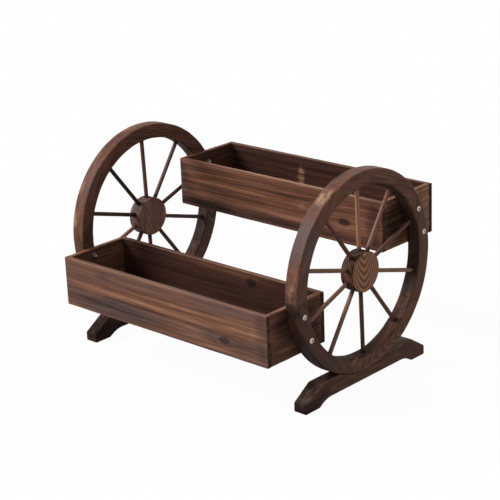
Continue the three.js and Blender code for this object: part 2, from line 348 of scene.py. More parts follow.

# Stains, painted shade and painted highlights by piece: kind, middle and reach in millimetres,
# strength
STAINS_AND_PAINTED_LIGHT = {
    "lower_box_front_board": (
        (WARM, (60, -290, 194), (520, 9, 22), 1.0),
        (WARM, (165, -290, 137), (60, 9, 7), 0.8),
        (CHAR_AND_SHADE, (0, -290, 172), (420, 9, 6), 0.4),
        (CHAR_AND_SHADE, (-120, -290, 148), (330, 9, 30), 0.5),
        (CHAR_AND_SHADE, (190, -290, 156), (150, 9, 18), 0.35),
        (CHAR_AND_SHADE, (60, -290, 212), (300, 9, 4), 0.25),
        (CHAR_AND_SHADE, (191, -290, 161), (30, 9, 13), 0.45),
        (CHAR_AND_SHADE, (-185, -290, 221), (45, 9, 6), 0.4),
        (GREY, (0, -290, 190), (900, 60, 300), 0.35),
        (GREY, (-150, -290, 150), (220, 9, 32), 1.0),
        (GREY, (170, -290, 160), (150, 9, 14), 0.9),
        (GREY, (-185, -290, 221), (60, 9, 9), 1.0),
        (GREY, (200, -290, 232), (190, 9, 16), 0.8),
        (GREY, (-306, -290, 190), (12, 9, 70), 0.9),
        (GREY, (295, -290, 190), (34, 9, 80), 0.7),
        (CHAR_AND_SHADE, (300, -290, 190), (30, 9, 80), 0.3),
        (GREY, (0, -284, 244), (420, 9, 5), 0.7),
        (PALE_AND_HIGHLIGHT, (283, -290, 195), (25, 9, 15), 0.45),
    ),
    "upper_box_front_board": (
        (WARM, (-70, 103, 338), (240, 9, 15), 1.0),
        (WARM, (-190, 103, 367), (130, 9, 9), 0.35),
        (WARM, (60, 103, 303), (120, 9, 7), 0.45),
        (CHAR_AND_SHADE, (0, 103, 319), (330, 9, 4), 0.45),
        (CHAR_AND_SHADE, (-40, 103, 355), (300, 9, 4), 0.45),
        (CHAR_AND_SHADE, (60, 103, 373), (260, 9, 3), 0.4),
        (CHAR_AND_SHADE, (120, 103, 330), (90, 9, 3), 0.4),
        (CHAR_AND_SHADE, (-230, 103, 285), (140, 9, 15), 0.95),
        (CHAR_AND_SHADE, (60, 103, 288), (330, 9, 9), 0.5),
        (CHAR_AND_SHADE, (205, 103, 323), (30, 9, 10), 0.5),
        (CHAR_AND_SHADE, (292, 103, 330), (34, 9, 70), 0.5),
        (GREY, (-304, 103, 335), (13, 9, 70), 1.0),
        (WARM, (79, 103, 338), (14, 9, 11), 1.0),
        (PALE_AND_HIGHLIGHT, (79, 103, 338), (13, 9, 10), 1.0),
        # Painted highlight along the top edge
        (PALE_AND_HIGHLIGHT, (60, 108, 390), (300, 9, 5), 0.95),
    ),
    "lower_box_back_board": (
        (WARM, (30, -114, 236), (200, 9, 9), 0.45),
        (CHAR_AND_SHADE, (113, -114, 222), (17, 9, 34), 0.6),
        (CHAR_AND_SHADE, (-60, -114, 232), (40, 9, 20), 0.5),
        # Painted highlight along the top edge
        (PALE_AND_HIGHLIGHT, (110, -110, 244), (220, 9, 5), 0.3),
    ),
    "upper_box_back_board": (
        (WARM, (-72, 277, 332), (13, 9, 40), 1.0),
        (PALE_AND_HIGHLIGHT, (-72, 277, 342), (11, 9, 34), 1.0),
        (CHAR_AND_SHADE, (-20, 277, 366), (260, 9, 9), 0.5),
    ),
    "upper_box_right_end": (
        (WARM, (314, 255, 382), (9, 60, 40), 1.0),
        (PALE_AND_HIGHLIGHT, (314, 216, 386), (9, 34, 24), 1.0),
        (PALE_AND_HIGHLIGHT, (314, 272, 372), (9, 26, 50), 0.5),
        (GREY, (314, 270, 310), (9, 40, 40), 0.7),
        # Painted shadow of the rim across the lower front of this end board
        (CHAR_AND_SHADE, (314, 160, 335), (9, 90, 72), 1.0),
    ),
    "lower_box_right_end": (
        (WARM, (314, -240, 150), (9, 70, 16), 0.75),
        # Painted highlight along the top edge
        (PALE_AND_HIGHLIGHT, (312, -200, 243), (9, 90, 4), 0.8),
        (CHAR_AND_SHADE, (314, -225, 205), (9, 60, 42), 0.75),
        (CHAR_AND_SHADE, (314, -150, 185), (9, 40, 60), 0.4),
    ),
    "lower_box_left_end": (
        (WARM, (-302, -140, 194), (9, 50, 5), 0.8),
        (GREY, (-302, -200, 225), (9, 90, 14), 0.6),
    ),
    "right_wheel_hub": (
        (CHAR_AND_SHADE, (322, -40, 245), (26, 30, 60), 0.9),
        (GREY, (318, -20, 300), (30, 60, 60), 0.7),
    ),
    "left_wheel_hub": ((GREY, (-340, -20, 280), (50, 90, 90), 0.9),),
    "right_wheel_spoke_1": (
        (WARM, (331, -10, 400), (20, 12, 200), 0.5),
        (PALE_AND_HIGHLIGHT, (336, -6, 400), (6, 12, 110), 0.9),
    ),
    "right_wheel_felloe_2": (
        (PALE_AND_HIGHLIGHT, (326, -118, 462), (24, 40, 30), 1.0),
        (GREY, (326, -125, 458), (24, 60, 50), 1.0),
        (GREY, (331, -190, 385), (40, 70, 90), 1.0),
        (WARM, (330, -230, 290), (12, 14, 34), 0.4),
        (GREY, (331, -228, 285), (20, 30, 40), 0.5),
        (PALE_AND_HIGHLIGHT, (330, -229, 282), (10, 12, 18), 0.4),
    ),
    "right_wheel_felloe_3": (
        (CHAR_AND_SHADE, (331, -228, 240), (30, 16, 30), 0.6),
        # Painted shade on the rim's low front, where it faces the floor
        (CHAR_AND_SHADE, (314, -190, 140), (34, 90, 120), 0.6),
    ),
    "right_wheel_felloe_4": (
        # Painted highlight along the bottom of the rim's inner face
        (PALE_AND_HIGHLIGHT, (318, -50, 77), (14, 40, 12), 0.9),
        (WARM, (349, -36, 60), (9, 26, 22), 0.7),
    ),
    "right_wheel_felloe_5": ((GREY, (330, 185, 180), (30, 40, 40), 0.9),),
    "left_wheel_felloe_1": ((PALE_AND_HIGHLIGHT, (-340, -20, 492), (9, 60, 12), 0.8),),
    "left_wheel_felloe_2": (
        (PALE_AND_HIGHLIGHT, (-342, -224, 312), (9, 12, 30), 0.8),
        (PALE_AND_HIGHLIGHT, (-342, -196, 385), (9, 20, 26), 0.6),
    ),
    "left_wheel_felloe_4": ((GREY, (-331, 180, 180), (40, 60, 110), 0.7),),
    "left_wheel_felloe_5": ((GREY, (-331, 190, 220), (40, 60, 110), 0.7),),
    # Painted shadow of the lower box over the left foot
    "left_foot": ((CHAR_AND_SHADE, (-331, -170, 20), (70, 130, 70), 0.8),),
    "right_foot": (
        (CHAR_AND_SHADE, (345, -218, 8), (60, 20, 36), 1.0),
        # Painted light on the front slope, which the lower box shades
        (GREY, (331, -190, 40), (50, 60, 50), 0.9),
        (PALE_AND_HIGHLIGHT, (345, -180, 44), (50, 50, 60), 0.2),
    ),
}

# A knot's middle in millimetres, in the pieces that have one
KNOTS = {
    "lower_box_front_board": (191, -284, 161),
    "lower_box_back_board": (113, -108, 222),
    "lower_box_floor": (-120, -196, 133),
    "upper_box_front_board": (205, 108, 323),
    "upper_box_back_board": (-150, 284, 318),
    "upper_box_floor": (160, 196, 279),
    "left_wheel_felloe_3": (-331, -167, 134),
}
KNOT_LENGTH = 12 * MM
KNOT_WIDTH = 7 * MM
NO_KNOT = 1.0  # metres away, where it doesn't show

BOX_NAMES = ("lower", "upper")
BOX_PARTS = ("left_end", "right_end", "front_board", "back_board", "floor")
# Felloes sawn close to the middle of the tree, whose rings show as nested arches
FIGURED = ("right_wheel_felloe_4", "left_wheel_felloe_4", "left_wheel_felloe_5")

# How pieces were sawn: how far the pith of the tree lay across and behind their middle, in
# millimetres, and how much the grain slants across and through them
SAWN = {
    "lower_front": ((12, 46), (0.004, 0.012)),
    "lower_back": ((20, 70), (-0.004, 0.01)),
    "upper_front": ((-14, 52), (0.004, 0.012)),
    "upper_back": ((30, 44), (-0.004, 0.01)),
    "end": ((18, 60), (0.02, 0.03)),
    "floor": ((20, 45), (0.006, 0.015)),
    "figured_felloe": ((4, 52), (0.02, 0.13)),
    "right_hub": ((5, 60), (0.0, 0.27)),
    "left_hub": ((14, 50), (0.05, 0.12)),
    "foot": ((-12, 38), (0.02, 0.05)),
}
# The same for pieces sawn by chance, as ranges
FELLOE_SAWN = ((-30, 30), (25, 60), (-0.04, 0.04), (-0.06, 0.06))
SPOKE_SAWN = ((-40, 40), (15, 50), (-0.03, 0.03), (-0.03, 0.03))
SHIFT_RANGE = (1, 9)
LIFT_RANGE = (-0.05, 0.05)
GOLD_RANGE = (0.1, 0.35)

# Scorching and painted shade, from 0 to 1, and how deep or far they go
# Painted shade on the faces inside the planter boxes
INSIDE_SHADE = 0.4
INSIDE_EASE = 1.2  # millimetres outside a hollow at which its painted shade starts
# Painted shade on the inner face of each rim
INNER_RIM_SHADE = 0.45
# Painted shade on the treads below each wheel's centre, where they face the floor
UNDER_RIM_SHADE = 0.8
UNDER_RIM_DROP = (0.2, 0.7)  # from nothing to full, in radii below the wheel's centre
RIM_SKIN = 2 * MM
# How much darker the round side of each hub is
HUB_SIDE_DARKENING = {"left": 0.4, "right": 1.0}
HUB_SKIN = 1 * MM
END_GRAIN_CHAR = 0.6
END_GRAIN_SKIN = 0.5 * MM
# Painted shade round the mouths of the spoke sockets, where the gap would be dark
SOCKET_SHADE = 0.8
SOCKET_SHADE_REACH = 6 * MM
SKIN_EASE = 1.5  # thicknesses down to where it ends
MARK_STEEPNESS = 1.4  # above 1, each stain and each painted patch of light and shade is full before its middle


def smooth_step(value):
    value = np.clip(value, 0, 1)
    return value * value * (3 - 2 * value)


def closeness(points, middle, reach):
    """1 in the middle of an ellipsoid, falling to 0 at its surface."""
    away = (points - np.array(middle) * MM) / (np.array(reach) * MM)
    return smooth_step(MARK_STEEPNESS * (1 - np.linalg.norm(away, axis=1)))


def skin(depth, thickness):
    """1 on a face, falling to 0 a little deeper than the thickness."""
    return smooth_step(SKIN_EASE - depth / thickness)


def nowhere(points):
    return np.zeros(len(points))


def inside_of_boxes(points):
    """1 where a point is on a face that looks into a planter box, and 0 elsewhere."""
    found = np.zeros(len(points))
    for name in BOX_NAMES:
        left, right, front, back, floor = (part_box(f"{name}_box_{part}") for part in BOX_PARTS)
        low = (left[1][X], front[1][Y], floor[0][Z])
        high = (right[0][X], back[0][Y], front[1][Z] - BOARD_ROUNDING)
        depth = np.min(np.concatenate((points - low, high - points), axis=1), axis=1)
        found = np.maximum(found, smooth_step(depth / MM + INSIDE_EASE))
    return found


def edge_closeness(face_distances):
    """1 on the edges where two faces meet, falling to 0 at EDGE_REACH. A row for each face."""
    nearest = np.sort(np.clip(face_distances, 0, None), axis=0)[:2]
    return smooth_step(1 - np.linalg.norm(nearest, axis=0) / EDGE_REACH)


def set_attribute(mesh, name, kind, values):
    field = "value" if kind == "FLOAT" else "vector"
    attribute = mesh.attributes.new(name, kind, "POINT")
    attribute.data.foreach_set(field, np.asarray(values, np.float32).ravel())


class Cut:
    """How a piece was sawn: the directions of its grain, and where the pith of the tree lay."""

    def __init__(self, node, middle, along, across, pith, tilt):
        dice = random.Random(node)
        along, across = np.array(along, float), np.array(across, float)
        depth = np.cross(along, across)
        along = along + tilt[0] * across + tilt[1] * depth
        along /= np.linalg.norm(along)
        across = across - along * (across @ along)
        across /= np.linalg.norm(across)
        self.axes = np.stack((along, across, np.cross(along, across)))
        self.middle = np.array(middle, float)
        self.shift = np.array((dice.uniform(*SHIFT_RANGE), pith[0] * MM, pith[1] * MM))
        lift = dice.uniform(*LIFT_RANGE)
        self.tone = TONES.get(node, (lift, dice.uniform(*GOLD_RANGE), 0.0))
        self.node = node

    def grain(self, points):
        return (points - self.middle) @ self.axes.T + self.shift

    def from_knot(self, points):
        if self.node not in KNOTS:
            return np.full((len(points), 3), NO_KNOT)
        return (points - np.array(KNOTS[self.node]) * MM) @ self.axes.T


def chance_sawn(node, ranges):
    """A pith and a tilt drawn for a piece."""
    dice = random.Random(node + "_pith")
    draws = [dice.uniform(*limits) for limits in ranges]
    return draws[:2], draws[2:]


def wooden(mesh, cut, edge=nowhere, char_and_shade=nowhere):
    """Gives a mesh the attributes that the wood materials read."""
    points = np.array([vertex.co for vertex in mesh.vertices])
    lift, gold, grey = cut.tone
    stains_and_painted_light = np.zeros((len(points), 4))
    stains_and_painted_light[:, GREY] = grey
    # Painted shade inside the boxes, and each piece's own scorching and painted shade
    stains_and_painted_light[:, CHAR_AND_SHADE] = np.maximum(INSIDE_SHADE * inside_of_boxes(points), char_and_shade(points))
    for kind, middle, reach, strength in STAINS_AND_PAINTED_LIGHT.get(cut.node, ()):
        stain_and_painted_light = strength * closeness(points, middle, reach)
        stains_and_painted_light[:, kind] = np.maximum(stains_and_painted_light[:, kind], stain_and_painted_light)
    tone = np.column_stack((np.tile((lift, gold), (len(points), 1)), stains_and_painted_light[:, GREY]))
    set_attribute(mesh, "grain", "FLOAT_VECTOR", cut.grain(points))
    set_attribute(mesh, "knot", "FLOAT_VECTOR", cut.from_knot(points))
    set_attribute(mesh, "stain_and_painted_light", "FLOAT_VECTOR", stains_and_painted_light[:, :GREY])
    set_attribute(mesh, "tone", "FLOAT_VECTOR", tone)
    set_attribute(mesh, "edge", "FLOAT", edge(points))
    return mesh


# Materials


def srgb(red, green, blue):
    """A colour given as on a screen, from 0 to 255, in the linear values that shaders use."""
    shares = [value / 255 for value in (red, green, blue)]
    linear = [s / 12.92 if s <= 0.04045 else ((s + 0.055) / 1.055) ** 2.4 for s in shares]
    return (*linear, 1.0)


class Nodes:
    """The nodes of a material. Each maker returns the socket that carries its result."""

    def __init__(self, owner):
        owner.use_nodes = True
        self.tree = owner.node_tree
        self.tree.nodes.clear()

    def add(self, kind, inputs=None, **settings):
        node = self.tree.nodes.new(kind)
        for name, value in settings.items():
            setattr(node, name, value)
        for key, value in (inputs or {}).items():
            if isinstance(value, bpy.types.NodeSocket):
                self.tree.links.new(value, node.inputs[key])
            else:
                node.inputs[key].default_value = value
        return node

    def math(self, operation, first, second, third=0.0, clamp=False):
        inputs = {0: first, 1: second, 2: third}
        return self.add("ShaderNodeMath", inputs, operation=operation, use_clamp=clamp).outputs[0]

    def total(self, start, *terms):
        """start plus each (value, factor) pair's product."""
        for value, factor in terms:
            start = self.math("MULTIPLY_ADD", value, factor, start)
        return start

    def vector(self, operation, first, second):
        inputs = {0: first, 1: second}
        return self.add("ShaderNodeVectorMath", inputs, operation=operation).outputs[0]

    def length(self, vector):
        inputs = {0: vector}
        return self.add("ShaderNodeVectorMath", inputs, operation="LENGTH").outputs["Value"]

    def parts(self, vector):
        return self.add("ShaderNodeSeparateXYZ", {0: vector}).outputs

    def attribute(self, name, output="Vector"):
        return self.add("ShaderNodeAttribute", attribute_name=name).outputs[output]

    def noise(self, place, pace, detail, roughness=0.55, output="Fac"):
        """Noise whose spots repeat about pace times a metre along each axis of place."""
        scaled = self.vector("MULTIPLY", place, pace)
        inputs = {"Vector": scaled, "Scale": 1.0, "Detail": detail, "Roughness": roughness}
        return self.add("ShaderNodeTexNoise", inputs).outputs[output]

    def between(self, value, low, high):
        """0 up to low, 1 from high, smooth in between."""
        inputs = {0: value, 1: low, 2: high, 3: 0.0, 4: 1.0}
        return self.add("ShaderNodeMapRange", inputs, interpolation_type="SMOOTHSTEP").outputs[0]

    def ramp(self, value, colours):
        node = self.add("ShaderNodeValToRGB", {0: value})
        stops_made = node.color_ramp.elements
        while len(stops_made) < len(colours):
            stops_made.new(0.5)
        for k, colour in enumerate(colours):
            stops_made[k].position = k / (len(colours) - 1)
            stops_made[k].color = colour
        return node.outputs[0]

    def mix(self, factor, first, second):
        inputs = {0: factor, 6: first, 7: second}
        return self.add("ShaderNodeMix", inputs, data_type="RGBA").outputs[2]

    def surface(self, inputs):
        shader = self.add("ShaderNodeBsdfPrincipled", inputs).outputs[0]
        self.add("ShaderNodeOutputMaterial", {"Surface": shader})

    def either(self, factor, first, second):
        """The first shader where factor is 0, the second where it is 1."""
        inputs = {0: factor, 1: first.outputs[0], 2: second.outputs[0]}
        return self.add("ShaderNodeMixShader", inputs).outputs[0]


def shades(*colours):
    return [srgb(*colour) for colour in colours]


REDDISH = shades((18, 10, 9), (48, 29, 24), (90, 56, 45), (132, 84, 67), (176, 124, 100))
GOLDEN = shades((17, 11, 7), (48, 33, 20), (92, 64, 39), (142, 102, 62), (188, 145, 98))
ORANGE = shades((92, 55, 38), (150, 99, 70), (186, 136, 100))
TAN = shades((120, 86, 64), (170, 129, 100), (206, 168, 134))
GREY_MAUVE = shades((20, 14, 14), (42, 33, 32), (74, 59, 57), (112, 92, 88), (158, 136, 128))
# The dark colour of scorching and of painted shade
SOOT_AND_SHADE = srgb(23, 11, 9)

# Noises in the wood: repeats per metre along, across and through the grain, detail, roughness
SWAY = ((2.5, 14, 14), 2, 0.5)
DRIFT = ((5, 60, 60), 2)
ZONES = ((1.3, 24, 24), 2)
BANDS = ((1.6, 85, 85), 5, 0.62)
FIBRES = ((12, 560, 560), 5, 0.62)
BURNS = ((6, 48, 48), 3, 0.6)
PATCHES = ((2, 40, 40), 2)
SWAY_REACH = 3 * MM

# How much each of them lightens wood, which a noise does by half of it on average
ZONE_LIGHT = 0.7
BAND_LIGHT = 1.0
FIBRE_LIGHT = 0.95
LATE_MEAN = 0.28  # of late wood, over a whole ring
GILDING_SPREAD = 0.7

# Knots, at distances from their middle in their own radii
KNOT_BEND = -0.75
KNOT_BEND_RANGE = (3.2, 0.5)
KNOT_RING_RANGE = (1.6, 0.8)
KNOT_HEART_RANGE = (0.9, 0.3)

# Where noises turn from nothing to full
PATCH_RANGE = (0.46, 0.66)
STREAK_RANGE = (0.39, 0.61)
WEAR_RANGE = (0.1, 0.8)

WEAR_SHOW = 0.35
SOOT_AND_SHADE_SHOW = 0.9
WOOD_ROUGHNESS = 0.42
WOOD_SPECULAR = 0.12
WOOD_BUMP = 0.55
WOOD_RELIEF = 0.6 * MM
STEEL_PATCHES = ((260, 260, 260), 3)
STEEL_PATCH_RANGE = (0.35, 0.7)
STEEL_SCRATCHES = ((2600, 900, 900), 2)
STEEL_BUMP = 0.25
STEEL_RELIEF = 0.05 * MM

# Lightness, width of a growth ring in millimetres, how much rings and streaks show, greyness
WOODS = {
    "board_wood": (0.55, 3.4, 0.1, 0.65, 0.15),
    "coarse_wood": (0.55, 3.0, 0.16, 0.78, 0.15),
    "smooth_wood": (0.55, 4.2, 0.05, 0.38, 0.2),
    "rim_wood": (0.5, 3.6, 0.12, 0.6, 0.25),
    "figured_wood": (0.51, 3.2, 0.25, 0.5, 0.25),
    "hub_wood": (0.67, 4.4, 0.95, 0.35, 0.15),
    "spoke_wood": (0.52, 2.6, 0.1, 0.6, 0.45),
    "foot_wood": (0.54, 3.8, 0.1, 0.6, 0.25),
}


def grain_round_knot(n):
    """The place in the log, bent round the piece's knot, and the distance from the knot."""
    knot = n.attribute("knot")
    reach = n.length(n.vector("MULTIPLY", knot, (1 / KNOT_LENGTH, 1 / KNOT_WIDTH, 0.0)))
    bend = n.math("MULTIPLY", n.parts(knot)[Y], n.between(reach, *KNOT_BEND_RANGE))
    shift = n.add("ShaderNodeCombineXYZ", {Y: n.math("MULTIPLY", bend, KNOT_BEND)}).outputs[0]
    return n.vector("ADD", n.attribute("grain"), shift), reach


def late_wood(n, grain, ring_width):
    """1 on the line that ends a growth ring, and little in between. The rings go round X."""
    sway = n.vector("SUBTRACT", n.noise(grain, *SWAY, "Color"), (0.5, 0.5, 0.5))
    warped = n.vector("ADD", grain, n.vector("MULTIPLY", sway, (0.0, SWAY_REACH, SWAY_REACH)))
    reach = n.length(n.vector("MULTIPLY", warped, (0.0, 1.0, 1.0)))
    rings = n.total(n.math("DIVIDE", reach, ring_width * MM), (n.noise(grain, *DRIFT), 0.6))
    return n.math("POWER", n.math("MULTIPLY", n.math("PINGPONG", rings, 0.5), 2.0), 2.5)


def wood_material(name, level, ring_width, ring_show, streak_show, greys):
    """Brushed and flame-darkened fir, with painted shade and painted highlights, from the
    attributes of its mesh.
    """
    material = bpy.data.materials.new(name)
    n = Nodes(material)
    lift, gold, grey = n.parts(n.attribute("tone"))
    # The char channel holds scorching and painted shade; the pale channel holds worn patches and
    # painted highlights
    warm, char_and_shade, pale_and_highlight = n.parts(n.attribute("stain_and_painted_light"))
    edge = n.attribute("edge", "Fac")
    grain, knot_reach = grain_round_knot(n)
    late = late_wood(n, grain, ring_width)
    zones, bands, fibres, burns, patches = (
        n.noise(grain, *looks) for looks in (ZONES, BANDS, FIBRES, BURNS, PATCHES)
    )

    plain = level - 0.5 * streak_show * (ZONE_LIGHT + BAND_LIGHT + FIBRE_LIGHT)
    light = n.total(
        n.math("ADD", lift, plain - LATE_MEAN * ring_show),
        (zones, ZONE_LIGHT * streak_show),
        (bands, BAND_LIGHT * streak_show),
        (fibres, FIBRE_LIGHT * streak_show),
        (late, ring_show),
        (char_and_shade, -0.3),
        (pale_and_highlight, 0.08),
        (n.between(knot_reach, *KNOT_RING_RANGE), -0.24),
        (n.between(knot_reach, *KNOT_HEART_RANGE), 0.11),
    )
    gilding = n.total(gold, (burns, GILDING_SPREAD))
    gilding = n.math("ADD", gilding, -GILDING_SPREAD / 2, clamp=True)
    colour = n.mix(gilding, n.ramp(light, REDDISH), n.ramp(light, GOLDEN))
    greyness = n.total(0.0, (n.between(patches, *PATCH_RANGE), greys), (grey, 0.85))
    colour = n.mix(greyness, colour, n.ramp(light, GREY_MAUVE))

    streaks = n.between(n.total(0.0, (bands, 0.65), (fibres, 0.35)), *STREAK_RANGE)
    shade = n.total(0.15, (streaks, 0.7))

    def in_streaks(stain_and_painted_light, start, spread):
        return n.math("MULTIPLY", stain_and_painted_light, n.total(start, (streaks, spread)), clamp=True)

    colour = n.mix(in_streaks(warm, 0.25, 0.6), colour, n.ramp(shade, ORANGE))
    # Worn patches and painted highlights, in tan
    colour = n.mix(in_streaks(pale_and_highlight, 0.2, 0.85), colour, n.ramp(shade, TAN))
    worn = n.between(n.total(-1.1, (edge, 0.9), (burns, 1.1), (fibres, 0.6)), *WEAR_RANGE)
    colour = n.mix(n.math("MULTIPLY", worn, WEAR_SHOW), colour, n.ramp(shade, TAN))
    # Scorching and painted shade, darker outside the streaks, in the soot colour
    soot_and_shade = in_streaks(char_and_shade, 1.05, -0.55)
    colour = n.mix(n.math("MULTIPLY", soot_and_shade, SOOT_AND_SHADE_SHOW), colour, SOOT_AND_SHADE)

    height = n.total(0.0, (late, 0.5), (bands, 0.4), (fibres, 0.7))
    relief = {"Strength": WOOD_BUMP, "Distance": WOOD_RELIEF, "Height": height}
    n.surface({
        "Base Color": colour,
        "Roughness": n.total(WOOD_ROUGHNESS, (soot_and_shade, 0.4), (fibres, 0.3), (late, -0.06)),
        "Specular IOR Level": WOOD_SPECULAR,
        "Normal": n.add("ShaderNodeBump", relief).outputs[0],
    })
    return material


def steel_material(name, bright, dull, roughness):
    """Zinc-plated steel, dulled in patches and rough in scratches."""
    material = bpy.data.materials.new(name)
    n = Nodes(material)
    place = n.add("ShaderNodeTexCoord").outputs["Object"]
    patches, scratches = n.noise(place, *STEEL_PATCHES), n.noise(place, *STEEL_SCRATCHES)
    relief = {"Strength": STEEL_BUMP, "Distance": STEEL_RELIEF, "Height": scratches}
    n.surface({
        "Base Color": n.mix(n.between(patches, *STEEL_PATCH_RANGE), bright, dull),
        "Metallic": 1.0,
        "Roughness": n.total(roughness, (patches, 0.35), (scratches, 0.1)),
        "Normal": n.add("ShaderNodeBump", relief).outputs[0],
    })
    return material


woods = {name: wood_material(name, *looks) for name, looks in WOODS.items()}
zinc_steel = steel_material("zinc_steel", srgb(196, 184, 170), srgb(150, 136, 122), 0.16)
dull_steel = steel_material("dull_steel", srgb(138, 128, 114), srgb(92, 82, 72), 0.3)


# Pieces


def add_piece(mesh, name, material):
    """Puts a finished mesh on the stand."""
    mesh.shade_smooth()
    mesh.set_sharp_from_angle(angle=SHARP_ANGLE)
    mesh.materials.clear()
    mesh.materials.append(material)
    piece = new_object(name, mesh)
    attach(piece, "root")
    return piece


def dress(mesh, node, material):
    """Puts a finished mesh in the place of a node of the frame."""
    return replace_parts(add_piece(mesh, f"{node}_dressed", material), node)


def box_of(node):
    """The low corner, high corner, middle and size of a node of the frame."""
    low, high = (np.array(corner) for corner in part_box(node))
    return low, high, (low + high) / 2, high - low


def unit(axis):
    return np.eye(3)[axis]


# Planter boxes


def board(node, along, across, sawn, wood="board_wood", holes=()):
    """A board whose length and width lie along the axes of those numbers."""
    low, high, middle, size = box_of(node)
    depth = X + Y + Z - along - across
    seed = random.Random(node).uniform(*SEED_RANGE)
    rings = []
    for distance, outline in bar_outlines(size[across], size[depth], size[along], BOARD_BAR, seed):
        ring = middle + np.outer(outline[:, 0], unit(across)) + np.outer(outline[:, 1], unit(depth))
        ring[:, along] = low[along] + distance
        rings.append(ring)

    def edge(points):
        return edge_closeness(np.concatenate((points - low, high - points), axis=1).T)

    def char_and_shade(points):
        from_end = size[along] / 2 - np.abs(points[:, along] - middle[along])
        return END_GRAIN_CHAR * skin(from_end, END_GRAIN_SKIN)

    mesh = loft(node, rings)
    if holes:
        mesh = carved(mesh, holes)
    cut = Cut(node, middle, unit(along), unit(across), *SAWN[sawn])
    dress(wooden(mesh, cut, edge, char_and_shade), node, woods[wood])


def bolt_nodes(side_name, *box_names):
    return [f"bolt_{side_name}_{name}_{k}" for name in box_names for k in (1, 2)]


def bolt_hole(node):
    """The shape of the hole that a bolt of the frame goes through."""
    _, _, middle, size = box_of(node)
    start, end = middle - size[X] * unit(X), middle + size[X] * unit(X)
    return round_bar("bolt_hole", start, end, BOLT_RADIUS + SOCKET_CLEARANCE, FASTENER_SIDES)


def build_box(name, front_wood, back_wood):
    board(f"{name}_box_front_board", X, Z, f"{name}_front", front_wood)
    board(f"{name}_box_back_board", X, Z, f"{name}_back", back_wood)
    for side_name in SIDES:
        holes = [bolt_hole(node) for node in bolt_nodes(side_name, name)]
        board(f"{name}_box_{side_name}_end", Y, Z, "end", holes=holes)
    board(f"{name}_box_floor", X, Y, "floor")


# Wheels


def wheel_places(side_name):
    """A wheel's centre, the thickness of its rim and its outer radius."""
    hub_low, hub_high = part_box(f"{side_name}_wheel_hub")
    centre = np.array(hub_low + hub_high) / 2
    corners = [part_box(f"{side_name}_wheel_felloe_{k + 1}") for k in range(FELLOE_COUNT)]
    thickness = corners[0][1][X] - corners[0][0][X]
    radius = max(high[Z] for _, high in corners) - centre[Z]
    return centre, thickness, radius


def radial(angle):
    """The unit vector that points outwards on a wheel at an angle from +Y towards +Z."""
    return np.array((0.0, math.cos(angle), math.sin(angle)))


def reach_from(centre, points):
    """The distance of each point from the axis of a wheel."""
    return np.hypot(points[:, Y] - centre[Y], points[:, Z] - centre[Z])


def socket(centre, angle, inner_end, outer_end):
    """The shape of the hole that a spoke's end sits in."""
    start, end = (centre + reach * radial(angle) for reach in (inner_end, outer_end))
    return round_bar("socket", start, end, SPOKE_RADIUS + SOCKET_CLEARANCE, SPOKE_SIDES)


def socket_shade(mouths):
    """Painted shade round the mouths of sockets."""

    def char_and_shade(points):
        away = np.min([np.linalg.norm(points - mouth, axis=1) for mouth in mouths], axis=0)
        return SOCKET_SHADE * smooth_step(1 - (away - SPOKE_RADIUS) / SOCKET_SHADE_REACH)

    return char_and_shade


def felloe(side_name, index):
    node = f"{side_name}_wheel_felloe_{index + 1}"
    centre, thickness, radius = wheel_places(side_name)
    inner_radius, middle_radius = radius - RIM_DEPTH, radius - RIM_DEPTH / 2
    start = UPRIGHT_ANGLE + SPOKE_ANGLE / 2 + (index - 1) * FELLOE_ANGLE
    length = FELLOE_ANGLE * middle_radius - JOINT_GAP
    seed = random.Random(node).uniform(*SEED_RANGE)
    rings = []
    for distance, outline in bar_outlines(thickness, RIM_DEPTH, length, RIM_BAR, seed):
        outwards = radial(start + (distance + JOINT_GAP / 2) / middle_radius)
        reach = (middle_radius + outline[:, 1])[:, None]
        rings.append(centre + np.outer(outline[:, 0], unit(X)) + reach * outwards)

    angles = [start + (k + 0.5) * SPOKE_ANGLE for k in range(SPOKE_COUNT // FELLOE_COUNT)]
    socket_end = inner_radius + TENON_IN_RIM + SOCKET_CLEARANCE
    holes = [socket(centre, angle, inner_radius - RIM_DEPTH, socket_end) for angle in angles]
    holes += [bolt_hole(bolt_node) for bolt_node in bolt_nodes(side_name, *BOX_NAMES)]
    mesh = carved(loft(node, rings), holes)

    def edge(points):
        away, reach = points - centre, reach_from(centre, points)
        turn = (np.arctan2(away[:, Z], away[:, Y]) - start) % (2 * math.pi)
        return edge_closeness((
            thickness / 2 - np.abs(away[:, X]),
            radius - reach,
            reach - inner_radius,
            turn * reach + FELLOE_END_SHOW,
            (FELLOE_ANGLE - turn) * reach + FELLOE_END_SHOW,
        ))

    mouth_shade = socket_shade([centre + inner_radius * radial(angle) for angle in angles])

    # Painted shade on the inner face, on the treads below the centre and round the sockets
    def char_and_shade(points):
        reach = reach_from(centre, points)
        drop = (centre[Z] - points[:, Z]) / radius
        least, most = UNDER_RIM_DROP
        below = smooth_step((drop - least) / (most - least))
        inner = INNER_RIM_SHADE * skin(reach - inner_radius, RIM_SKIN)
        under = UNDER_RIM_SHADE * below * skin(radius - reach, RIM_SKIN)
        return np.max((inner, under, mouth_shade(points)), axis=0)

    figured = node in FIGURED
    sawn = SAWN["figured_felloe"] if figured else chance_sawn(node, FELLOE_SAWN)
    half_way = start + FELLOE_ANGLE / 2
    along, across = radial(half_way + math.pi / 2), radial(half_way)
    cut = Cut(node, centre + middle_radius * across, along, across, *sawn)
    material = woods["figured_wood" if figured else "rim_wood"]
    dress(wooden(mesh, cut, edge, char_and_shade), node, material)


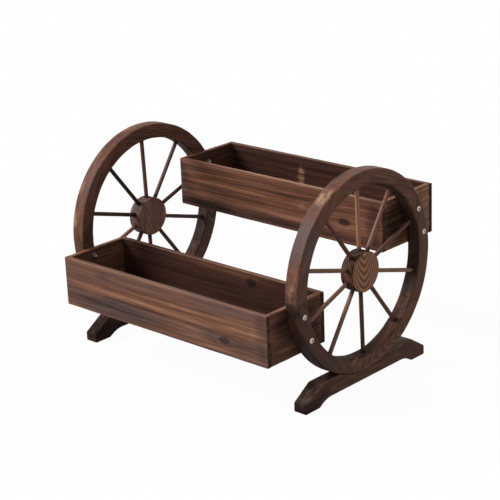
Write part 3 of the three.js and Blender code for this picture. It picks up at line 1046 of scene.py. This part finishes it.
def hub(side_name, wood):
    node = f"{side_name}_wheel_hub"
    low, _, centre, size = box_of(node)
    thickness, radius = size[X], size[Z] / 2
    face = [(0.0, share * radius) for share in HUB_FACE_LOOPS]
    side = [(along, radius - inset) for along, inset in stations(thickness, HUB_ROUNDING, RIM_PACE)]
    other_face = [(thickness, reach) for _, reach in reversed(face)]
    rings = []
    for along, reach in face + side + other_face:
        ring = centre + reach * circle(ROUND_SIDES, unit(Y), unit(Z))
        ring[:, X] = low[X] + along
        rings.append(ring)
    socket_end = radius - TENON_IN_HUB - SOCKET_CLEARANCE
    holes = [socket(centre, angle, socket_end, 2 * radius) for angle in SPOKE_ANGLES]
    mesh = carved(loft(node, rings), holes)

    def depths(points):
        """How deep points lie under the flat faces and under the round side."""
        under_face = thickness / 2 - np.abs(points[:, X] - centre[X])
        return under_face, radius - reach_from(centre, points)

    def edge(points):
        return edge_closeness(depths(points))

    mouth_shade = socket_shade([centre + radius * radial(angle) for angle in SPOKE_ANGLES])

    # A darker round side, and painted shade round the sockets
    def char_and_shade(points):
        side_darkening = HUB_SIDE_DARKENING[side_name] * skin(depths(points)[1], HUB_SKIN)
        return np.maximum(side_darkening, mouth_shade(points))

    cut = Cut(node, centre, unit(Z), unit(Y), *SAWN[f"{side_name}_hub"])
    dress(wooden(mesh, cut, edge, char_and_shade), node, woods[wood])


def spoke(side_name, index):
    node = f"{side_name}_wheel_spoke_{index + 1}"
    centre, _, radius = wheel_places(side_name)
    hub_radius = box_of(f"{side_name}_wheel_hub")[3][Z] / 2
    inner_radius = radius - RIM_DEPTH
    start, end = hub_radius - TENON_IN_HUB, inner_radius + TENON_IN_RIM
    outwards = radial(SPOKE_ANGLES[index])
    outline = circle(SPOKE_SIDES, unit(X), np.cross(unit(X), outwards))
    seed = random.Random(node).uniform(*SEED_RANGE)
    hollow, waves = SPOKE_HOLLOWS
    rings = []
    for distance, inset in stations(end - start, SPOKE_END_ROUNDING, SPOKE_PACE):
        reach = SPOKE_RADIUS - inset - hollow * waver(distance * waves, seed)
        rings.append(centre + (start + distance) * outwards + reach * outline)
    middle = centre + (start + end) / 2 * outwards
    cut = Cut(node, middle, outwards, unit(X), *chance_sawn(node, SPOKE_SAWN))
    # Painted shade where the spoke enters the hub and the rim
    char_and_shade = socket_shade([centre + reach * outwards for reach in (hub_radius, inner_radius)])
    mesh = wooden(loft(node, rings), cut, char_and_shade=char_and_shade)
    dress(mesh, node, woods["spoke_wood"])


# Feet


def curve(first, middle, last, t):
    """A point of the parabola that leaves first and reaches last as if to meet in the middle."""
    return (1 - t) ** 2 * first + 2 * t * (1 - t) * middle + t ** 2 * last


def eased(points, marks, radius):
    """An outline whose marked corners are rounded off."""
    result = []
    for k, corner in enumerate(points):
        if not marks[k]:
            result.append(corner)
            continue
        before, after = points[k - 1], points[(k + 1) % len(points)]
        first = corner + (before - corner) / np.linalg.norm(before - corner) * radius
        last = corner + (after - corner) / np.linalg.norm(after - corner) * radius
        result.extend(curve(first, corner, last, t) for t in np.linspace(0, 1, CORNER_STEPS + 2))
    return result


def steps_between(points, pace):
    """How many steps of about pace lead up to each point of an outline."""
    lengths = [np.linalg.norm(points[k] - points[k - 1]) for k in range(len(points))]
    return [max(1, math.ceil(length / pace)) for length in lengths]


def filled_in(points, steps):
    """An outline with the stretch that leads up to each point cut into its number of steps."""
    result = []
    for k, count in enumerate(steps):
        start, end = points[k - 1], points[k]
        result.extend(start + (end - start) * step / count for step in range(count))
    return np.array(result)


def shrunk(outline, inset):
    """An anticlockwise outline moved inwards."""
    ahead = np.roll(outline, -1, axis=0) - outline
    ahead /= np.linalg.norm(ahead, axis=1)[:, None]
    inward = np.stack((-ahead[:, 1], ahead[:, 0]), 1)
    corner = inward + np.roll(inward, 1, axis=0)
    corner /= np.maximum(np.sum(corner * inward, axis=1), LEAST_CORNER)[:, None]
    return outline + inset * corner


def foot_outline(length, height, seat_centre, seat_radius):
    """The side view of a foot, anticlockwise: points in Y and Z, and whether each is a corner."""
    end = length / 2
    shoulder, pad = end - FOOT_SLOPE_RUN, end - FOOT_PAD_LENGTH
    level = pad - FOOT_ARCH_EASE
    right = []
    for t in np.linspace(0, 1, FOOT_ARCH_STEPS, endpoint=False):
        place = curve(level, level + FOOT_ARCH_EASE / 2, pad, t)
        right.append(((place, FOOT_ARCH_HEIGHT * (1 - t ** 2)), False))
    for corner in ((pad, 0.0), (end, 0.0), (end, FOOT_END_HEIGHT), (shoulder, height)):
        right.append((corner, True))
    half_angle = math.acos((seat_centre - height) / seat_radius)
    seat = []
    for k in range(FOOT_SEAT_STEPS + 1):
        angle = half_angle * (1 - 2 * k / FOOT_SEAT_STEPS) - math.pi / 2
        _, across, up = seat_radius * radial(angle)
        seat.append(((across, seat_centre + up), k in (0, FOOT_SEAT_STEPS)))
    left = [((-y, z), marked) for (y, z), marked in reversed(right)]
    points, marks = zip(*(right + seat + left))
    return np.array(points), marks


def outline_distance(points, outline):
    """The distance of each point to a closed outline."""
    best = np.full(len(points), np.inf)
    for k, start in enumerate(outline):
        step = outline[(k + 1) % len(outline)] - start
        share = np.clip((points - start) @ step / (step @ step), 0, 1)
        best = np.minimum(best, np.linalg.norm(points - start - share[:, None] * step, axis=1))
    return best


def foot(side_name):
    node = f"{side_name}_foot"
    low, _, middle, size = box_of(node)
    centre, _, radius = wheel_places(side_name)
    points, marks = foot_outline(size[Y], size[Z], centre[Z], radius + SOCKET_CLEARANCE)
    outline = eased(points, marks, FOOT_CORNER)
    steps = steps_between(outline, FOOT_PACE)
    rings = []
    for along, inset in stations(size[X], FOOT_ROUNDING, RIM_PACE):
        flat = filled_in(eased(shrunk(points, inset), marks, FOOT_CORNER - inset), steps)
        rings.append(np.column_stack((np.full(len(flat), low[X] + along), flat)))
    bores = []
    for y in FOOT_SCREW_PLACES:
        start, end = ((middle[X], y, z) for z in (-FOOT_SCREW_SEAT, FOOT_SCREW_SEAT))
        bores.append(round_bar("bore", start, end, FOOT_BORE_RADIUS, FASTENER_SIDES))

    def edge(points):
        away = outline_distance(points[:, Y:], outline)
        return edge_closeness((size[X] / 2 - np.abs(points[:, X] - middle[X]), away))

    mesh = carved(loft(node, rings), bores)
    cut = Cut(node, middle, unit(Y), unit(Z), *SAWN["foot"])
    dress(wooden(mesh, cut, edge), node, woods["foot_wood"])


# Bolts, nuts and screws


def turned(name, profile, start, facing):
    """A solid turned about X. The profile is (distance, radius, 0 for round to 1 for hexagonal)."""
    sixth = math.pi / 3
    hexagon = math.cos(sixth / 2) / np.cos(round_angles(FASTENER_SIDES) % sixth - sixth / 2)
    ring = circle(FASTENER_SIDES, unit(Y), unit(Z))
    rings = []
    for along, radius, hexness in profile:
        reach = radius * (1 + hexness * (hexagon - 1))
        rings.append(start + facing * along * unit(X) + reach[:, None] * ring)
    return loft(name, rings)


def bolt_profile(length, head_radius):
    """From the socket's floor over the dome and down the shank to the tip; 0 is the head's seat."""
    floor = HEAD_HEIGHT - HEAD_SOCKET_DEPTH
    mark_depth, mark_radius = DRILL_MARK
    profile = [
        (floor - mark_depth, mark_radius, 0),
        (floor, HEAD_SOCKET_RADIUS, 1),
        (HEAD_HEIGHT - HEAD_SOCKET_BEVEL, HEAD_SOCKET_RADIUS, 1),
        (HEAD_HEIGHT, *HEAD_SOCKET_MOUTH),
    ]
    for angle in np.linspace(0, math.pi / 2, DOME_STEPS):
        reach = HEAD_FLAT_RADIUS + (head_radius - HEAD_FLAT_RADIUS) * math.sin(angle)
        rise = (HEAD_HEIGHT - HEAD_EDGE_HEIGHT) * math.cos(angle)
        profile.append((HEAD_EDGE_HEIGHT + rise, reach, 0))
    thread_end = HEAD_HEIGHT - length
    thread_start = thread_end + THREAD_TURNS_SHOWN * THREAD_PITCH
    profile += [
        (HEAD_BEVEL, head_radius, 0),
        (0.0, head_radius - HEAD_BEVEL, 0),
        (0.0, BOLT_RADIUS, 0),
        (thread_start, BOLT_RADIUS, 0),
    ]
    for k in range(THREAD_TURNS_SHOWN):
        turn_start = thread_start - k * THREAD_PITCH
        profile.append((turn_start - 0.5 * THREAD_PITCH, BOLT_RADIUS - THREAD_DEPTH, 0))
        profile.append((turn_start - 0.9 * THREAD_PITCH, BOLT_RADIUS - THREAD_CREST_DEPTH, 0))
    profile.append((thread_end, BOLT_RADIUS - 2 * THREAD_DEPTH, 0))
    return profile


def bolt(node, facing):
    _, _, middle, size = box_of(node)
    seat = middle + facing * (size[X] / 2 - HEAD_HEIGHT) * unit(X)
    profile = bolt_profile(size[X], size[Z] / 2 - HEAD_PLAY)
    dress(turned(node, profile, seat, facing), node, zinc_steel)


def ring_solid(name, profile, start, facing):
    """A turned solid with a hole through it: the profile closes on itself."""
    mesh = turned(name, [*profile, profile[0]], start, facing)
    shape = bmesh.new()
    shape.from_mesh(mesh)
    ends = [face for face in shape.faces if len(face.verts) > 4]
    bmesh.ops.delete(shape, geom=ends, context="FACES_ONLY")
    bmesh.ops.remove_doubles(shape, verts=shape.verts, dist=MERGE_DISTANCE)
    bmesh.ops.recalc_face_normals(shape, faces=shape.faces)
    shape.to_mesh(mesh)
    shape.free()
    return mesh


def nut_with_washer(node, facing):
    """The washer lies against the board, and the nut on the washer."""
    _, _, middle, size = box_of(node)
    washer_radius = size[Y] / 2
    bore = BOLT_RADIUS + THREAD_CLEARANCE
    washer = [
        (0.0, bore, 0),
        (0.0, washer_radius - WASHER_BEVEL, 0),
        (WASHER_BEVEL, washer_radius, 0),
        (WASHER_THICKNESS - WASHER_BEVEL, washer_radius, 0),
        (WASHER_THICKNESS, washer_radius - WASHER_BEVEL, 0),
        (WASHER_THICKNESS, bore, 0),
    ]
    first, last = WASHER_THICKNESS + NUT_GAP, size[X]
    nut = [
        (first, bore, 0),
        (first, NUT_SEAT_RADIUS, 0),
        (first + NUT_CROWN, NUT_RADIUS, 1),
        (last - NUT_CROWN, NUT_RADIUS, 1),
        (last, NUT_TOP_RADIUS, 0),
        (last, bore + NUT_BORE_BEVEL, 0),
        (last - NUT_BORE_BEVEL, bore, 0),
    ]
    start = middle + facing * size[X] / 2 * unit(X)
    solids = [ring_solid(node, profile, start, -facing) for profile in (washer, nut)]
    dress(joined(node, solids), node, dull_steel)


def foot_screw(side_name, index, y):
    """A pan-head screw that holds a foot to its wheel, seen only from below."""
    x = wheel_places(side_name)[0][X]
    seat = FOOT_SCREW_SEAT - SCREW_GAP
    outline = SCREW_HEAD_RADIUS * circle(FASTENER_SIDES, unit(X), unit(Y))
    rings = []
    for angle in SCREW_DOME_STOPS * math.pi / 2:
        rise = SCREW_EDGE_SHARE + (1 - SCREW_EDGE_SHARE) * math.cos(angle)
        middle = np.array((x, y, seat - SCREW_HEAD_HEIGHT * rise))
        rings.append(middle + math.sin(angle) * outline)
    rings.append(np.array((x, y, seat)) + outline)
    mesh = loft("foot_screw", rings)
    top = seat - SCREW_HEAD_HEIGHT
    for slot_size in (SCREW_SLOT, SCREW_SLOT[::-1]):
        corners = np.array(SQUARE) * slot_size / 2 + (x, y)
        levels = (top - SCREW_SLOT_DEPTH, top + SCREW_SLOT_DEPTH)
        slot = loft("slot", [np.column_stack((corners, np.full(4, z))) for z in levels])
        mesh = carved(mesh, [slot])
    add_piece(mesh, f"{side_name}_foot_screw_{index}", zinc_steel)


# The stand


def build_stand():
    build_box("lower", "board_wood", "smooth_wood")
    build_box("upper", "coarse_wood", "board_wood")
    for side_name, facing in SIDES.items():
        for index in range(FELLOE_COUNT):
            felloe(side_name, index)
        for index in range(SPOKE_COUNT):
            spoke(side_name, index)
        foot(side_name)
        for node in bolt_nodes(side_name, *BOX_NAMES):
            bolt(node, facing)
            nut_with_washer(node.replace("bolt", "nut"), facing)
        for index, y in enumerate(FOOT_SCREW_PLACES, 1):
            foot_screw(side_name, index, y)
    hub("right", "hub_wood")
    hub("left", "rim_wood")


# Camera, light and floor


def make_camera():
    yaw, pitch, roll = (math.radians(a) for a in (CAMERA_YAW, CAMERA_PITCH, CAMERA_ROLL))
    level = Vector((math.cos(yaw), math.sin(yaw), 0))
    ahead = Vector((
        -math.sin(yaw) * math.cos(pitch),
        math.cos(yaw) * math.cos(pitch),
        -math.sin(pitch),
    ))
    upright = level.cross(ahead)
    right = level * math.cos(roll) + upright * math.sin(roll)
    up = upright * math.cos(roll) - level * math.sin(roll)
    camera = new_object("camera", bpy.data.cameras.new("camera"))
    camera.data.lens = CAMERA_LENS
    camera.data.sensor_width = SENSOR_WIDTH
    turn = Matrix((right, up, -ahead)).transposed()
    camera.matrix_world = Matrix.Translation(CAMERA_PLACE) @ turn.to_4x4()
    bpy.context.scene.camera = camera


def seen_share(n, share):
    """share for camera, glossy and transmission rays, and 0 for all others."""
    rays = n.add("ShaderNodeLightPath").outputs
    seen = n.math("MAXIMUM", rays["Is Camera Ray"], rays["Is Glossy Ray"])
    return n.math("MULTIPLY", n.math("MAXIMUM", seen, rays["Is Transmission Ray"]), share)


def make_world():
    world = bpy.data.worlds.new("studio")
    bpy.context.scene.world = world
    n = Nodes(world)
    sky = n.add("ShaderNodeBackground", {"Color": WHITE, "Strength": SKY_STRENGTH})
    backdrop = n.add("ShaderNodeBackground", {"Color": WHITE, "Strength": 1.0})
    n.add("ShaderNodeOutputWorld", {"Surface": n.either(seen_share(n, 1.0), sky, backdrop)})


def make_key_light():
    lamp = bpy.data.lights.new("key", "SUN")
    lamp.energy = KEY_STRENGTH
    lamp.angle = math.radians(KEY_ANGLE)
    key = new_object("key", lamp)
    key.rotation_mode = "QUATERNION"
    key.rotation_quaternion = KEY_DIRECTION.to_track_quat("Z", "Y")


def make_floor():
    half = FLOOR_SIZE / 2
    corners = [(half * x, half * y, -FLOOR_DROP) for x, y in SQUARE]
    mesh = mesh_of("floor", corners, [[0, 1, 2, 3]])
    material = bpy.data.materials.new("floor_paper")
    n = Nodes(material)
    colour = n.mix(seen_share(n, 1.0), FLOOR_BOUNCE, FLOOR_COLOUR)
    paper = n.add("ShaderNodeBsdfDiffuse", {"Color": colour})
    white = n.add("ShaderNodeEmission", {"Color": WHITE, "Strength": 1.0})
    surface = n.either(seen_share(n, BACKGROUND_SHARE), paper, white)
    n.add("ShaderNodeOutputMaterial", {"Surface": surface})
    mesh.materials.append(material)
    floor = new_object("floor", mesh)


make_camera()
make_world()
make_key_light()
make_floor()
build_stand()

bpy.context.scene.view_settings.view_transform = "Standard"
